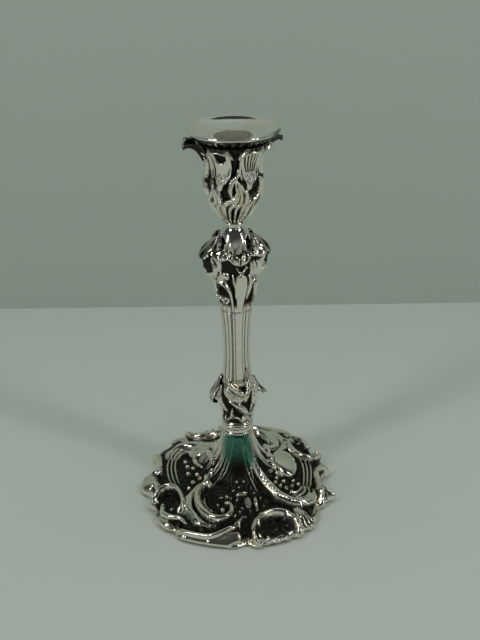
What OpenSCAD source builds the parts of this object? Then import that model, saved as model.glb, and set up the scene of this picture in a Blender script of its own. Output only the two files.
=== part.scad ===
// Rococo candlestick: cast pieces stacked on a tie rod, a weighted foot and a lift-out nozzle.
// Millimetres, +Z up, origin at the centre of the underside, front towards -Y.

/* [Candle] */
// Diameter of the candle socket
candle_d = 22.5; // [21:0.1:24]
// Depth of the candle socket
socket_depth = 27.5; // [24:0.1:28]

/* [Overall] */
// Height from the table to the rim of the nozzle
total_h = 245; // [243:1:260]
// Radius of the nozzle rim
nozzle_r = 26.7; // [24:0.1:30]
// Height of the foot, up to its collar
foot_h = 46.7; // [45:0.1:50]
// Radius of the foot between its lobes
foot_r = 62; // [60:0.5:66]
// Radius of the foot's neck under the collar
foot_neck_r = 9; // [8.5:0.1:10]

/* [Walls] */
// Wall of the cast foot
foot_wall = 2; // [1.6:0.1:2.4]
// Wall of the nozzle sleeve
sleeve_wall = 0.7; // [0.5:0.1:1]
// Wall of the liner tube in the capital
liner_wall = 0.7; // [0.5:0.1:1]
// Radial clearance between the sleeve and the liner
sleeve_gap = 0.3; // [0.2:0.05:0.5]
// Thickness of the felt under the foot
felt_t = 1; // [0.8:0.1:1.5]
// Thickness of the closing plate
plate_t = 0.8; // [0.5:0.1:1]

/* [Tie rod] */
// Diameter of the tie rod
rod_d = 5; // [4:0.5:6]
// Thickness of a nut
nut_t = 3.8; // [3:0.1:4]
// Width of a nut across its corners
nut_w = 9.2; // [8:0.1:10]
// Thickness of a washer
washer_t = 1.2; // [1:0.1:1.4]

/* [Ornament] */
// Number of petals round the capital
petal_count = 8; // [6:1:10]
// Number of pairs of grooves down the stem
groove_pairs = 4; // [3:1:6]
// Number of curled leaves round the lower knop
curl_count = 4; // [3:1:5]
// Number of scrolls round the border
scroll_count = 8; // [6:1:9]
// Radius of a border scroll, to the middle of its bar
scroll_r = 8.5; // [8:0.1:9]

/* [Hidden] */
$fn = 48;

solder_gap = 0.05;
rod_r = rod_d / 2;
rod_hole_r = rod_r + 0.25;

// Heights of the joints between the stacked pieces
z_collar = foot_h;
z_lower = z_collar + 7.5;
z_stem = z_lower + 33.8;
z_upper = z_stem + 47;
z_bulb = z_upper + 29;
z_ring = z_bulb + 23.5;
z_capital = z_ring + 3.5;
z_cup_floor = z_capital + 15;
z_seat = total_h - 7;
z_mouth = total_h - 4.7;

// Radii of the socket, from the candle outwards
bore_r = candle_d / 2;
sleeve_r = bore_r + sleeve_wall;
liner_in_r = sleeve_r + sleeve_gap;
liner_r = liner_in_r + liner_wall;
cup_bore_r = liner_r + solder_gap;
flange_r = sleeve_r + 1.05;
flange_t = 0.8;
sleeve_floor_t = 0.8;
z_sleeve = z_mouth - socket_depth - sleeve_floor_t;

// The foot's surface falls away from its neck as a hyperbola
border_in_r = 52;
foot_fall = 398;
foot_low = foot_h - foot_fall / foot_neck_r;
border_top = foot_z(border_in_r);
skirt_z = 0.6;
skirt_wall = 1.8;
pad_inset = skirt_wall + 0.4;
web_z = foot_h - 10.7;
web_t = 4;
web_r = foot_fall / (web_z + web_t - foot_low) - 0.4;

// The border has a scroll on every other lobe
lobe_count = 2 * scroll_count;
lobe_depth = 4.6;
first_scroll = 65;
scroll_centre_r = 63;
scroll_open = 100;
bar_r = 1.6;
bar_h = 1.6;
bead_r = 2.3;
bead_h = 2.4;

function foot_z(r) = foot_low + foot_fall / r;
// A point of the foot's surface at radius r, moved in by the depth t
function foot_in(r, t) =
    let (slope = foot_fall / pow(r, 2), n = sqrt(1 + slope * slope))
    [r - t * slope / n, foot_z(r) - t / n];
// Radii that crowd together near the neck
function foot_radii(n = 22) =
    [for (i = [0:n]) foot_neck_r + (border_in_r - foot_neck_r) * pow(i / n, 1.6)];
// Stations [radius, height] joined by easy curves
function eased(s, n = 4) = concat(
    [for (i = [0:len(s) - 2]) for (k = [0:n - 1])
        let (t = k / n, e = (1 - cos(180 * t)) / 2)
        [s[i][0] + (s[i + 1][0] - s[i][0]) * e, s[i][1] + (s[i + 1][1] - s[i][1]) * t]],
    [s[len(s) - 1]]);

// A turned piece between two flat ends, bored for the rod
module turned(stations, hole_r = rod_hole_r) {
    n = len(stations) - 1;
    rotate_extrude()
        polygon(concat([[hole_r, stations[0][1]]], eased(stations), [[hole_r, stations[n][1]]]));
}

module ring(r_out, r_in, z, h) {
    translate([0, 0, z]) difference() {
        cylinder(r = r_out, h = h);
        translate([0, 0, -1]) cylinder(r = r_in, h = h + 2);
    }
}

// Curled leaf ends standing out round a knop
module curls(count, centre_r, z, r, width, first) {
    for (i = [0:count - 1])
        rotate([0, 0, first + i * 360 / count])
            translate([centre_r, width / 2, z])
                rotate([90, 0, 0]) cylinder(r = r, h = width);
}

// The lobed outline of the foot, moved in by inset, between two heights
module foot_outline(inset, z0, z1) {
    steps = 8 * lobe_count;
    translate([0, 0, z0]) linear_extrude(z1 - z0)
        polygon([
            for (i = [0:steps - 1])
                let (a = i * 360 / steps, r = foot_r - inset + lobe_depth * (1 + cos(lobe_count * a)) / 2)
                [r * cos(a - first_scroll), r * sin(a - first_scroll)]]);
}

function scroll_end(side) = [
    scroll_centre_r + scroll_r * cos(scroll_open), side * scroll_r * sin(scroll_open), 0];

// A C-shaped bar that opens outwards, with a bead at each end, sunk a little into the border
module scroll() {
    sink = 0.8;
    translate([0, 0, -sink]) {
        translate([scroll_centre_r, 0, 0])
            rotate([0, 0, scroll_open])
                rotate_extrude(angle = 360 - 2 * scroll_open)
                    translate([scroll_r - bar_r, 0]) square([2 * bar_r, bar_h + sink]);
        for (side = [-1, 1])
            translate(scroll_end(side)) cylinder(r = bead_r, h = bead_h + sink);
    }
}

module felt_pad() {
    color("darkgreen") foot_outline(pad_inset, 0, felt_t);
}

module base_plate() {
    color("gray") foot_outline(pad_inset, felt_t, felt_t + plate_t);
}

module base_weight() {
    floor_z = felt_t + plate_t;
    top_z = web_z - washer_t - nut_t;
    gap = foot_wall + 2;
    pocket_r = 8;
    side_r = foot_r - pad_inset - 2;
    color("gainsboro") rotate_extrude()
        polygon(concat(
            [[pocket_r, floor_z], [pocket_r, top_z]],
            [for (r = foot_radii()) let (p = foot_in(r, gap)) if (p[1] < top_z) p],
            [[side_r, foot_in(border_in_r, gap)[1]], [side_r, floor_z]]));
}

module foot_dome() {
    radii = foot_radii();
    last = len(radii) - 1;
    color("silver") {
        rotate_extrude()
            polygon(concat(
                [for (r = radii) [r, foot_z(r)]],
                [[border_in_r, border_top - skirt_wall]],
                [for (i = [last - 1:-1:0]) foot_in(radii[i], foot_wall)]));
        difference() {
            translate([0, 0, web_z]) cylinder(r = web_r, h = web_t);
            translate([0, 0, web_z - 1]) cylinder(r = rod_hole_r, h = web_t + 2);
        }
    }
}

module foot_border() {
    color("silver") {
        difference() {
            foot_outline(0, skirt_z, border_top);
            foot_outline(skirt_wall, skirt_z - 1, border_top - skirt_wall);
            translate([0, 0, -1]) cylinder(r = border_in_r, h = border_top + 2, $fn = 96);
        }
        for (i = [0:scroll_count - 1])
            rotate([0, 0, i * 360 / scroll_count - first_scroll])
                translate([0, 0, border_top]) scroll();
    }
}

module foot_collar() {
    color("silver") turned([
        [9.6, z_collar], [10.4, z_collar + 1.5], [9.9, z_collar + 4.5],
        [10.4, z_collar + 6.3], [9.8, z_lower]]);
}

module lower_knop() {
    color("silver") difference() {
        union() {
            turned([
                [10.4, z_lower], [11, z_lower + 4], [11.6, z_lower + 10], [15, z_lower + 18],
                [13.4, z_lower + 28.8], [9.2, z_stem]]);
            curls(curl_count, 14.6, z_lower + 20, 3.2, 9, 10);
        }
        translate([0, 0, z_lower - 1]) cylinder(r = rod_hole_r, h = z_stem - z_lower + 2);
    }
}

module stem_column() {
    waist_r = 7.75;
    waist_z = z_stem + 22;
    bend_r = 169;
    groove_r = 0.6;
    pair_spread = 13;
    steps = 6;
    heights = [for (i = [0:steps]) z_stem + (z_upper - z_stem) * i / steps];
    color("silver") difference() {
        rotate_extrude()
            polygon(concat(
                [[rod_hole_r, z_stem]],
                [for (z = heights)
                    [waist_r + bend_r - sqrt(pow(bend_r, 2) - pow(z - waist_z, 2)), z]],
                [[rod_hole_r, z_upper]]));
        for (i = [0:groove_pairs - 1], side = [-1, 1])
            rotate([0, 0, 45 + i * 360 / groove_pairs + side * pair_spread / 2])
                translate([waist_r + bend_r, 0, waist_z])
                    rotate([90, 0, 0]) rotate([0, 0, 174])
                        rotate_extrude(angle = 12, $fn = 360)
                            translate([bend_r, 0]) circle(r = groove_r, $fn = 16);
    }
}

module upper_knop() {
    bulb_room_r = 10.8;
    color("silver") difference() {
        union() {
            turned([
                [9.6, z_upper], [10.7, z_upper + 4], [12.6, z_upper + 11], [13.4, z_upper + 17],
                [14.5, z_upper + 23], [12, z_bulb]]);
            curls(2, 14.2, z_bulb + 6, 8, 12, 12);
        }
        translate([0, 0, z_upper - 1]) cylinder(r = rod_hole_r, h = z_bulb - z_upper + 20);
        translate([0, 0, z_bulb]) cylinder(r = bulb_room_r, h = 20);
    }
}

module neck_bulb() {
    color("silver") turned([
        [10, z_bulb], [9.6, z_bulb + 5], [7.6, z_bulb + 15], [6.6, z_bulb + 20], [5.2, z_ring]]);
}

module neck_ring() {
    color("silver") turned([[5.3, z_ring], [6.1, z_ring + 1.75], [5.3, z_capital]]);
}

module capital_cup() {
    lip_r = 17;
    leaf_tip_r = 30;
    color("silver") difference() {
        union() {
            turned([
                [6.2, z_capital], [10, z_capital + 6], [15.4, z_capital + 14],
                [17.8, z_capital + 23], [17.5, z_capital + 35], [18.4, z_capital + 40],
                [22.5, z_seat]]);
            for (a = [5, 185]) rotate([0, 0, a])
                rotate_extrude(angle = 26)
                    polygon([
                        [lip_r, z_seat - 5], [25, z_seat - 3.8], [leaf_tip_r, z_seat - 1.2],
                        [leaf_tip_r - 0.4, z_seat - 0.4], [24, z_seat - 1], [lip_r, z_seat - 1]]);
        }
        translate([0, 0, z_capital - 1]) cylinder(r = rod_hole_r, h = z_seat);
        translate([0, 0, z_cup_floor]) cylinder(r = cup_bore_r, h = z_seat);
        for (i = [0:petal_count - 1])
            rotate([0, 90, 18 + (i + 0.5) * 360 / petal_count])
                translate([-z_seat, 0, lip_r]) cylinder(r = 2.2, h = 20);
    }
}

module socket_liner() {
    color("lightgray") ring(liner_r, liner_in_r, z_cup_floor, z_seat - 0.6 - z_cup_floor);
}

module tie_rod() {
    z0 = web_z - washer_t - nut_t - 1;
    z1 = z_cup_floor + washer_t + nut_t + 0.4;
    color("dimgray") translate([0, 0, z0]) cylinder(r = rod_r, h = z1 - z0);
}

module nut(z) {
    color("dimgray") translate([0, 0, z]) difference() {
        cylinder(r = nut_w / 2, h = nut_t, $fn = 6);
        translate([0, 0, -1]) cylinder(r = rod_r + solder_gap, h = nut_t + 2);
    }
}

module washer(z, r) {
    color("dimgray") ring(r, rod_hole_r, z, washer_t);
}

module top_washer() {
    washer(z_cup_floor, 7);
}

module top_nut() {
    nut(z_cup_floor + washer_t);
}

module bottom_washer() {
    washer(web_z - washer_t, 6.5);
}

module bottom_nut() {
    nut(web_z - washer_t - nut_t);
}

module nozzle_pan() {
    hole_r = sleeve_r + solder_gap;
    dish = [
        [flange_r + solder_gap, z_mouth], [flange_r + 3, z_mouth + 0.2],
        [nozzle_r - 6, z_mouth + 1.3], [nozzle_r - 2.5, z_mouth + 3],
        [nozzle_r - 0.5, total_h], [nozzle_r, total_h - 0.4]];
    under = [
        [nozzle_r - 0.1, total_h - 1.1], [nozzle_r - 2, total_h - 2.4],
        [nozzle_r - 5, total_h - 4.4], [nozzle_r - 6.6, z_seat + 1.2], [nozzle_r - 9.2, z_seat]];
    color("whitesmoke") rotate_extrude($fn = 96)
        polygon(concat(
            [[hole_r, z_seat], [hole_r, z_mouth - flange_t],
                [flange_r + solder_gap, z_mouth - flange_t]],
            dish, under));
}

module nozzle_sleeve() {
    color("lightgray") difference() {
        union() {
            translate([0, 0, z_sleeve]) cylinder(r = sleeve_r, h = z_mouth - z_sleeve);
            translate([0, 0, z_mouth - flange_t]) cylinder(r = flange_r, h = flange_t);
        }
        translate([0, 0, z_sleeve + sleeve_floor_t]) cylinder(r = bore_r, h = socket_depth + 1);
    }
}

felt_pad();
base_plate();
base_weight();
foot_dome();
foot_border();
foot_collar();
lower_knop();
stem_column();
upper_knop();
neck_bulb();
neck_ring();
capital_cup();
socket_liner();
tie_rod();
top_washer();
top_nut();
bottom_washer();
bottom_nut();
nozzle_pan();
nozzle_sleeve();
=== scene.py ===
# %% [markdown]
# A rococo silver candlestick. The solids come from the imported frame; this script makes the
# cast ornament, the polish and the blackened recesses on top of them.

# %% Load the frame
import math

import bmesh
import bpy
import numpy as np
from mathutils import Matrix, Vector


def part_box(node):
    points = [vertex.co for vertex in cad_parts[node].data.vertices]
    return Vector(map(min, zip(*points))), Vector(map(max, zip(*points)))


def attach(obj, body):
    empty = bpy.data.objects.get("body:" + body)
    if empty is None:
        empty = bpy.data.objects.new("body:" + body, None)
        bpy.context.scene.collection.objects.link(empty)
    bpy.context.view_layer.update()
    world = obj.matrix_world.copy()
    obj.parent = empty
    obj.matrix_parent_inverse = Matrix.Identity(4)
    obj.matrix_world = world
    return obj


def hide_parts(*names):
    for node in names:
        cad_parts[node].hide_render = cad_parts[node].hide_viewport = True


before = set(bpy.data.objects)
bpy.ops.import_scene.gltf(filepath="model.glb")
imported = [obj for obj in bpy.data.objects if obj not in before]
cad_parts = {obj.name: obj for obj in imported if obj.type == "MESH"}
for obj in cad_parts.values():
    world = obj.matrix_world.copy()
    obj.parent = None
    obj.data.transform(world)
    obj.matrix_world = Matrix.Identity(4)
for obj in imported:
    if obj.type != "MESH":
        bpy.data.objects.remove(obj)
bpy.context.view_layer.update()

MM = 0.001

# %% [markdown]
# The camera looks down on the candlestick from the front, as somebody standing at the table
# would. It is set first, so that every later look at the piece is from the same place.

# %% Camera
camera = bpy.data.objects.new("camera", bpy.data.cameras.new("camera"))
bpy.context.scene.collection.objects.link(camera)
camera.data.lens = 51.9
camera.matrix_world = (
    Matrix.Translation((2.5 * MM, -503.7 * MM, 379.8 * MM))
    @ Matrix.Rotation(math.radians(63.2), 4, "X")
    @ Matrix.Rotation(math.radians(-0.77), 4, "Z"))
bpy.context.scene.camera = camera

# %% [markdown]
# Node materials are easier to read when one short helper makes a node and links its inputs.
# An input given as a number is typed in, and an input given as another node's output is linked.

# %% Helper for material nodes
def node(tree, kind, inputs=None, **settings):
    made = tree.nodes.new("ShaderNode" + kind)
    for key, value in settings.items():
        setattr(made, key, value)
    for key, value in (inputs or {}).items():
        if isinstance(value, bpy.types.NodeSocket):
            tree.links.new(value, made.inputs[key])
        else:
            made.inputs[key].default_value = value
    return made


def new_material(name):
    made = bpy.data.materials.new(name)
    made.use_nodes = True
    return made, made.node_tree, made.node_tree.nodes["Principled BSDF"]


def ramp(tree, factor, stops):
    made = node(tree, "ValToRGB", {"Fac": factor})
    elements = made.color_ramp.elements
    while len(elements) < len(stops):
        elements.new(0.5)
    for element, (place, shade) in zip(elements, stops):
        element.position = place
        element.color = (shade, shade, shade, 1) if isinstance(shade, float) else (*shade, 1)
    return made.outputs["Color"]


def blend_colour(tree, factor, a, b):
    made = node(tree, "Mix", data_type="RGBA")
    for index, value in ((0, factor), (6, a), (7, b)):
        if isinstance(value, bpy.types.NodeSocket):
            tree.links.new(value, made.inputs[index])
        else:
            made.inputs[index].default_value = value if index == 0 else (*value, 1)
    return made.outputs[2]


# %% [markdown]
# Silver is nearly all reflection, so its look is its roughness: mirror bright where a cloth
# reaches, a little cloudy elsewhere, with fine wiping scratches. The recesses of a casting are
# left blackened with tarnish. Each cast piece carries a blackening value on its points, 0 on the
# raised work and 1 in the recesses, and the shader breaks the edge of it up with a fine noise. On
# the underside of the drip pan the same value is mostly painted shade, with tarnish only in the flutes.

# %% Cast silver with blackened recesses
def silver(name, tint=(0.88, 0.85, 0.77), shine=0.1, stain_at=None, stain_reach=0.02):
    made, tree, shader = new_material(name)
    place = node(tree, "TexCoord").outputs["Object"]
    cloud = node(tree, "TexNoise", {"Vector": place, "Scale": 60.0, "Detail": 4.0}).outputs["Fac"]
    grain = node(tree, "TexNoise", {"Vector": place, "Scale": 900.0, "Detail": 3.0}).outputs["Fac"]
    wipe = node(tree, "TexNoise", {
        "Vector": node(tree, "Mapping", {"Vector": place, "Scale": (900, 900, 90)}).outputs[0],
        "Scale": 1.0, "Detail": 5.0}).outputs["Fac"]
    tarnish_and_shade = node(tree, "Attribute", attribute_name="tarnish_and_shade").outputs["Fac"]
    broken = node(tree, "Math", {0: grain, 1: 0.5}, operation="SUBTRACT").outputs[0]
    mask = node(tree, "Math", {0: broken, 1: 0.5, 2: tarnish_and_shade}, operation="MULTIPLY_ADD").outputs[0]
    blackening = ramp(tree, mask, [(0.25, 0.0), (0.75, 1.0)])
    warm = blend_colour(tree, ramp(tree, cloud, [(0.42, 0.0), (0.7, 1.0)]), tint,
                        (tint[0] * 0.93, tint[1] * 0.9, tint[2] * 0.8))
    if stain_at:
        spot = node(tree, "VectorMath", {0: place, 1: stain_at}, operation="DISTANCE").outputs["Value"]
        reach = node(tree, "Math", {0: cloud, 1: 0.6 * stain_reach, 2: spot},
                     operation="MULTIPLY_ADD").outputs[0]
        faded = node(tree, "Math", {0: reach, 1: stain_reach}, operation="DIVIDE").outputs[0]
        warm = blend_colour(tree, ramp(tree, faded, [(0.7, 0.92), (1.0, 0.0)]), warm, (0.02, 0.21, 0.145))
    # Blackened colour: tarnish in the recesses, and painted shade on the underside of the drip pan.
    colour = blend_colour(tree, blackening, warm, (0.034, 0.031, 0.025))
    tree.links.new(colour, shader.inputs["Base Color"])
    polish = ramp(tree, cloud, [(0.35, shine), (0.75, shine + 0.12)])
    rough = blend_colour(tree, blackening, polish, (0.38, 0.38, 0.38))
    tree.links.new(rough, shader.inputs["Roughness"])
    shader.inputs["Metallic"].default_value = 1.0
    bump = node(tree, "Bump", {"Strength": 0.12, "Distance": 0.0002, "Height": wipe})
    deep = node(tree, "Bump", {"Strength": 0.25, "Distance": 0.0002, "Height": grain,
                               "Normal": bump.outputs[0]})
    tree.links.new(deep.outputs[0], shader.inputs["Normal"])
    return made


cast_silver = silver("cast_silver")
neck_silver = silver("stained_cast_silver", stain_at=(0.0, -0.014, 0.039), stain_reach=0.0245)
tip_silver = silver("stained_tip_silver", stain_at=(0.026, -0.004, 0.239), stain_reach=0.012)
pan_silver = silver("stained_pan_silver", tint=(0.97, 0.96, 0.91), shine=0.07,
                    stain_at=(0.0262, -0.009, 0.2415),
                    stain_reach=0.013)
bright_silver = silver("polished_silver", tint=(0.92, 0.91, 0.87), shine=0.07)
finishes = (cast_silver, neck_silver, tip_silver, pan_silver, bright_silver)
print("silver finishes:", [m.name for m in finishes])

# %% [markdown]
# The hidden pieces have plainer finishes, but each still has its own grain: turned steel,
# dull tinned sheet, poured plaster and woollen baize.

# %% Finishes of the inner pieces
def plain(name, colour, rough, metallic, scale, bump):
    made, tree, shader = new_material(name)
    place = node(tree, "TexCoord").outputs["Object"]
    grain = node(tree, "TexNoise", {"Vector": place, "Scale": scale, "Detail": 6.0}).outputs["Fac"]
    dark = tuple(c * 0.7 for c in colour)
    tree.links.new(blend_colour(tree, ramp(tree, grain, [(0.35, 0.0), (0.65, 1.0)]), colour, dark),
                   shader.inputs["Base Color"])
    tree.links.new(ramp(tree, grain, [(0.3, rough - 0.08), (0.7, rough + 0.08)]),
                   shader.inputs["Roughness"])
    shader.inputs["Metallic"].default_value = metallic
    rise = node(tree, "Bump", {"Strength": bump, "Distance": 0.0003, "Height": grain})
    tree.links.new(rise.outputs[0], shader.inputs["Normal"])
    return made


steel = plain("turned_steel", (0.42, 0.42, 0.42), 0.35, 1.0, 500.0, 0.2)
tinned = plain("tinned_sheet", (0.6, 0.6, 0.58), 0.45, 1.0, 150.0, 0.15)
plaster = plain("plaster", (0.8, 0.78, 0.72), 0.85, 0.0, 400.0, 0.4)
worn_tin = plain("worn_tin", (0.6, 0.61, 0.5), 0.5, 0.15, 200.0, 0.1)
baize = plain("baize", (0.03, 0.12, 0.06), 0.9, 0.0, 1500.0, 0.9)

# %% [markdown]
# A casting's relief is drawn as a height map before it is put on the metal. A plate is a sheet
# of heights in millimetres; strokes, domes and ribs are worked into it the way a chaser works
# from the front, and the finished plate then moves the points of a turned shape along its normal.

# %% The plate: a height map worked with strokes
PLATE_STEP = 0.25
CHASE_DEPTH = 0.2


def curve_through(points, count=48):
    """A smooth line through a few points, with any number of values to a point."""
    p = np.array(points, float)
    p = np.vstack([2 * p[0] - p[1], p, 2 * p[-1] - p[-2]])
    at = np.linspace(0, len(points) - 1, count)
    i = np.minimum(at.astype(int), len(points) - 2)
    t = (at - i)[:, None]
    a, b, c, d = p[i], p[i + 1], p[i + 2], p[i + 3]
    return 0.5 * (2 * b + (c - a) * t + (2 * a - 5 * b + 4 * c - d) * t**2
                  + (3 * b - a - 3 * c + d) * t**3)


class Plate:
    def __init__(self, u, v, step, ground=0.0, wraps=False):
        self.u, self.v, self.step, self.wraps = u, v, step, wraps
        self.us = np.arange(u[0], u[1], step)
        self.vs = np.arange(v[0], v[1], step)
        self.h = np.full((len(self.vs), len(self.us)), float(ground))
        self.black = np.zeros_like(self.h)

    def window(self, lo, hi):
        """The rows and columns between two corners."""
        i = np.clip([int((c - self.u[0]) / self.step) for c in (lo[0], hi[0])], 0, len(self.us))
        j = np.clip([int((c - self.v[0]) / self.step) for c in (lo[1], hi[1])], 0, len(self.vs))
        return slice(j[0], j[1] + 2), slice(i[0], i[1] + 2)

    def copies(self, points):
        """The points, and on a plate that goes round the piece their copies across its seam."""
        shifts = (-1, 0, 1) if self.wraps else (0,)
        return [points + np.array([k * (self.u[1] - self.u[0]), 0]) for k in shifts]

    def work(self, window, touched, shape, height, how):
        """Raises the metal to a height, or adds to it. What is cut away turns black."""
        here, black = self.h[window], self.black[window]
        added = here + height * shape
        raised = np.maximum(here, height * shape)
        worked = raised if how == "max" else added
        cut = how == "add" and np.max(height) <= 0
        wiped = np.where(worked > here + 0.05, 0, black)
        mark = np.maximum(black, np.minimum(1, 2 * shape)) if cut else wiped
        self.h[window] = np.where(touched, worked, here)
        self.black[window] = np.where(touched, mark, black)

    def nearest(self, path, reach):
        """How far each spot is from a path, how far along it, and on which side."""
        gap = np.full(self.h.shape, 1e9)
        where = np.zeros(self.h.shape)
        side = np.ones(self.h.shape)
        for k, (a, b) in enumerate(zip(path, path[1:])):
            window = self.window(np.minimum(a, b) - reach, np.maximum(a, b) + reach)
            du = self.us[window[1]][None] - a[0]
            dv = self.vs[window[0]][:, None] - a[1]
            if not du.size or not dv.size:
                continue
            way = b - a
            t = np.clip((du * way[0] + dv * way[1]) / max(way @ way, 1e-9), 0, 1)
            far = (du - way[0] * t) ** 2 + (dv - way[1] * t) ** 2
            closer = far < gap[window]
            gap[window] = np.where(closer, far, gap[window])
            where[window] = np.where(closer, (k + t) / (len(path) - 1), where[window])
            turn = np.sign(way[0] * dv - way[1] * du)
            side[window] = np.where(closer, turn, side[window])
        return np.sqrt(gap), where, side

    def stroke(self, points, width, height, form="round", how="max", barbs=0, strands=0):
        """One tool stroke along a line. Width and height may each be a list along the stroke."""
        for path in self.copies(curve_through(points)):
            reach = np.max(width)
            window = self.window(path.min(0) - reach, path.max(0) + reach)
            if not self.h[window].size:
                continue
            gap, where, side = (sheet[window] for sheet in self.nearest(path, reach))
            w = np.interp(where, np.linspace(0, 1, np.size(width)), np.atleast_1d(width))
            tall = np.interp(where, np.linspace(0, 1, np.size(height)), np.atleast_1d(height))
            q = gap / np.maximum(w, 1e-6)
            inside = np.clip(1 - q * q, 0, 1)
            shape = {"round": np.sqrt(inside), "soft": inside**1.5,
                     "flat": np.minimum(1, inside * 3)}[form]
            if strands:
                shape = shape * (0.8 + 0.2 * np.cos(2 * np.pi * strands * q * side))
            if barbs:
                shape = shape * (0.86 + 0.14 * np.cos(2 * np.pi * (barbs * where + 1.2 * q * side)))
            self.work(window, q < 1, shape, tall, how)

    def dome(self, at, size, height, turn=0.0, how="max", form="round", ribs=0):
        """A round or oval boss, or with a negative height a hollow."""
        c, s = math.cos(math.radians(turn)), math.sin(math.radians(turn))
        for centre in self.copies(np.array([at], float)):
            window = self.window(centre[0] - max(size), centre[0] + max(size))
            if not self.h[window].size:
                continue
            du, dv = np.meshgrid(self.us[window[1]] - centre[0, 0], self.vs[window[0]] - centre[0, 1])
            a, b = (du * c + dv * s) / size[0], (dv * c - du * s) / size[1]
            inside = np.clip(1 - a * a - b * b, 0, 1)
            shape = {"round": np.sqrt(inside), "soft": inside**1.5,
                     "flat": np.minimum(1, inside * 3)}[form]
            if ribs:
                shape = shape * (0.82 + 0.18 * np.cos(ribs * np.arctan2(b, a + 0.8)))
            self.work(window, inside > 0, shape, height, how)

    def blurred(self, sigma):
        fu = np.fft.fftfreq(self.h.shape[1]) * sigma / self.step
        fv = np.fft.fftfreq(self.h.shape[0]) * sigma / self.step
        soft = np.exp(-2 * np.pi**2 * (fu[None]**2 + fv[:, None]**2))
        return np.fft.ifft2(np.fft.fft2(self.h) * soft).real

    def blackening(self, full, clean, hollow=0.25, reach=1.2):
        """Black below the height full, bright above clean, and dark again in narrow grooves."""
        low = np.clip((clean - self.h) / (clean - full), 0, 1)
        groove = np.clip((self.blurred(reach) - self.h - hollow) / 0.7, 0, 1)
        return np.maximum(np.maximum(low, groove), self.black)

    def sample(self, sheet, u, v):
        i = (u - self.u[0]) / self.step
        j = np.clip((v - self.v[0]) / self.step, 0, sheet.shape[0] - 1.001)
        i = i % sheet.shape[1] if self.wraps else np.clip(i, 0, sheet.shape[1] - 1.001)
        i0, j0 = np.floor(i).astype(int), np.floor(j).astype(int)
        i1 = (i0 + 1) % sheet.shape[1]
        fi, fj = i - i0, j - j0
        return ((sheet[j0, i0] * (1 - fi) + sheet[j0, i1] * fi) * (1 - fj)
                + (sheet[j0 + 1, i0] * (1 - fi) + sheet[j0 + 1, i1] * fi) * fj)


# %% [markdown]
# Every part of the stick is a body of revolution under its ornament, so each starts as an
# outline that is spun round the axis. The outline runs up the outside and back down the inside,
# which gives the casting its wall and leaves the mesh closed. Each point keeps how far it is
# along the outline in a layer called "along", so that the relief knows the outside from the inside.

# %% Spin an outline and press a plate into it
RELIEF_BLUR = 0.28


def spin_outline(name, outline, steps):
    """Spins a closed outline of [radius, height] points round the axis."""
    shape = bmesh.new()
    along = shape.verts.layers.float.new("along")
    lengths = np.concatenate([[0], np.cumsum(np.hypot(*np.diff(np.array(outline), axis=0).T))])
    ring = [shape.verts.new((r * MM, 0, z * MM)) for r, z in outline]
    for v, s in zip(ring, lengths):
        v[along] = s
    for a, b in zip(ring, ring[1:] + ring[:1]):
        shape.edges.new((a, b))
    bmesh.ops.spin(shape, geom=shape.verts[:] + shape.edges[:], cent=(0, 0, 0), axis=(0, 0, 1),
                   dvec=(0, 0, 0), angle=2 * math.pi, steps=steps, use_merge=True)
    bmesh.ops.remove_doubles(shape, verts=shape.verts[:], dist=1e-6)
    bmesh.ops.recalc_face_normals(shape, faces=shape.faces[:])
    return to_object(shape, name)


def to_object(shape, name, smooth=True):
    mesh = bpy.data.meshes.new(name)
    shape.to_mesh(mesh)
    shape.free()
    mesh.polygons.foreach_set("use_smooth", [smooth] * len(mesh.polygons))
    made = bpy.data.objects.new(name, mesh)
    bpy.context.scene.collection.objects.link(made)
    return made


def points_of(made):
    co = np.zeros(len(made.data.vertices) * 3)
    made.data.vertices.foreach_get("co", co)
    return co.reshape(-1, 3) / MM


def set_points(made, co):
    made.data.vertices.foreach_set("co", (co * MM).ravel())
    made.data.update()


def set_tarnish_and_shade(made, values):
    layer = made.data.attributes.new("tarnish_and_shade", "FLOAT", "POINT")
    layer.data.foreach_set("value", np.clip(values, 0, 1).astype(np.float32))


def smoothstep(lo, hi, x):
    t = np.clip((x - lo) / (hi - lo), 0, 1)
    return t * t * (3 - 2 * t)


def around_axis(co):
    return np.arctan2(co[:, 1], co[:, 0]), np.hypot(co[:, 0], co[:, 1])


def press(made, plate, outline, outer, place, blackening, fade=1.0, clear=0.0):
    """Moves the points of the outside along the outline's normal by the plate's height there. The
    first stretch of the outline is kept clear."""
    shape = np.array(outline, float)
    lengths = np.concatenate([[0], np.cumsum(np.hypot(*np.diff(shape, axis=0).T))])
    slope = np.gradient(shape, lengths, axis=0)
    slope /= np.hypot(*slope.T)[:, None]
    co = points_of(made)
    along = np.zeros(len(co), np.float32)
    made.data.attributes["along"].data.foreach_get("value", along)
    around, radius = around_axis(co)
    u, v = place(co, around)
    keep = smoothstep(clear, clear + fade, along)
    keep *= 1 - smoothstep(lengths[outer] - fade, lengths[outer], along)
    rise = plate.sample(plate.blurred(RELIEF_BLUR), u, v) * keep
    radius = radius + np.interp(along, lengths, slope[:, 1]) * rise
    height = co[:, 2] - np.interp(along, lengths, slope[:, 0]) * rise
    set_points(made, np.stack([radius * np.cos(around), radius * np.sin(around), height], 1))
    # The blackening is tarnish in the recesses; on the drip pan's underside it is painted shade.
    set_tarnish_and_shade(made, plate.sample(blackening, u, v) * (along < lengths[outer] + 0.01))


def rounded(stations, per=6):
    """Stations [radius, height] joined by a smooth line."""
    return [tuple(p) for p in curve_through(stations, (len(stations) - 1) * per + 1)]


def finish_piece(made, body, material, slot, *nodes):
    made.data.materials.append(material)
    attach(made, body)
    if nodes:
        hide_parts(*nodes)
    print(made.name, len(made.data.polygons), "faces")
    return made


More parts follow.
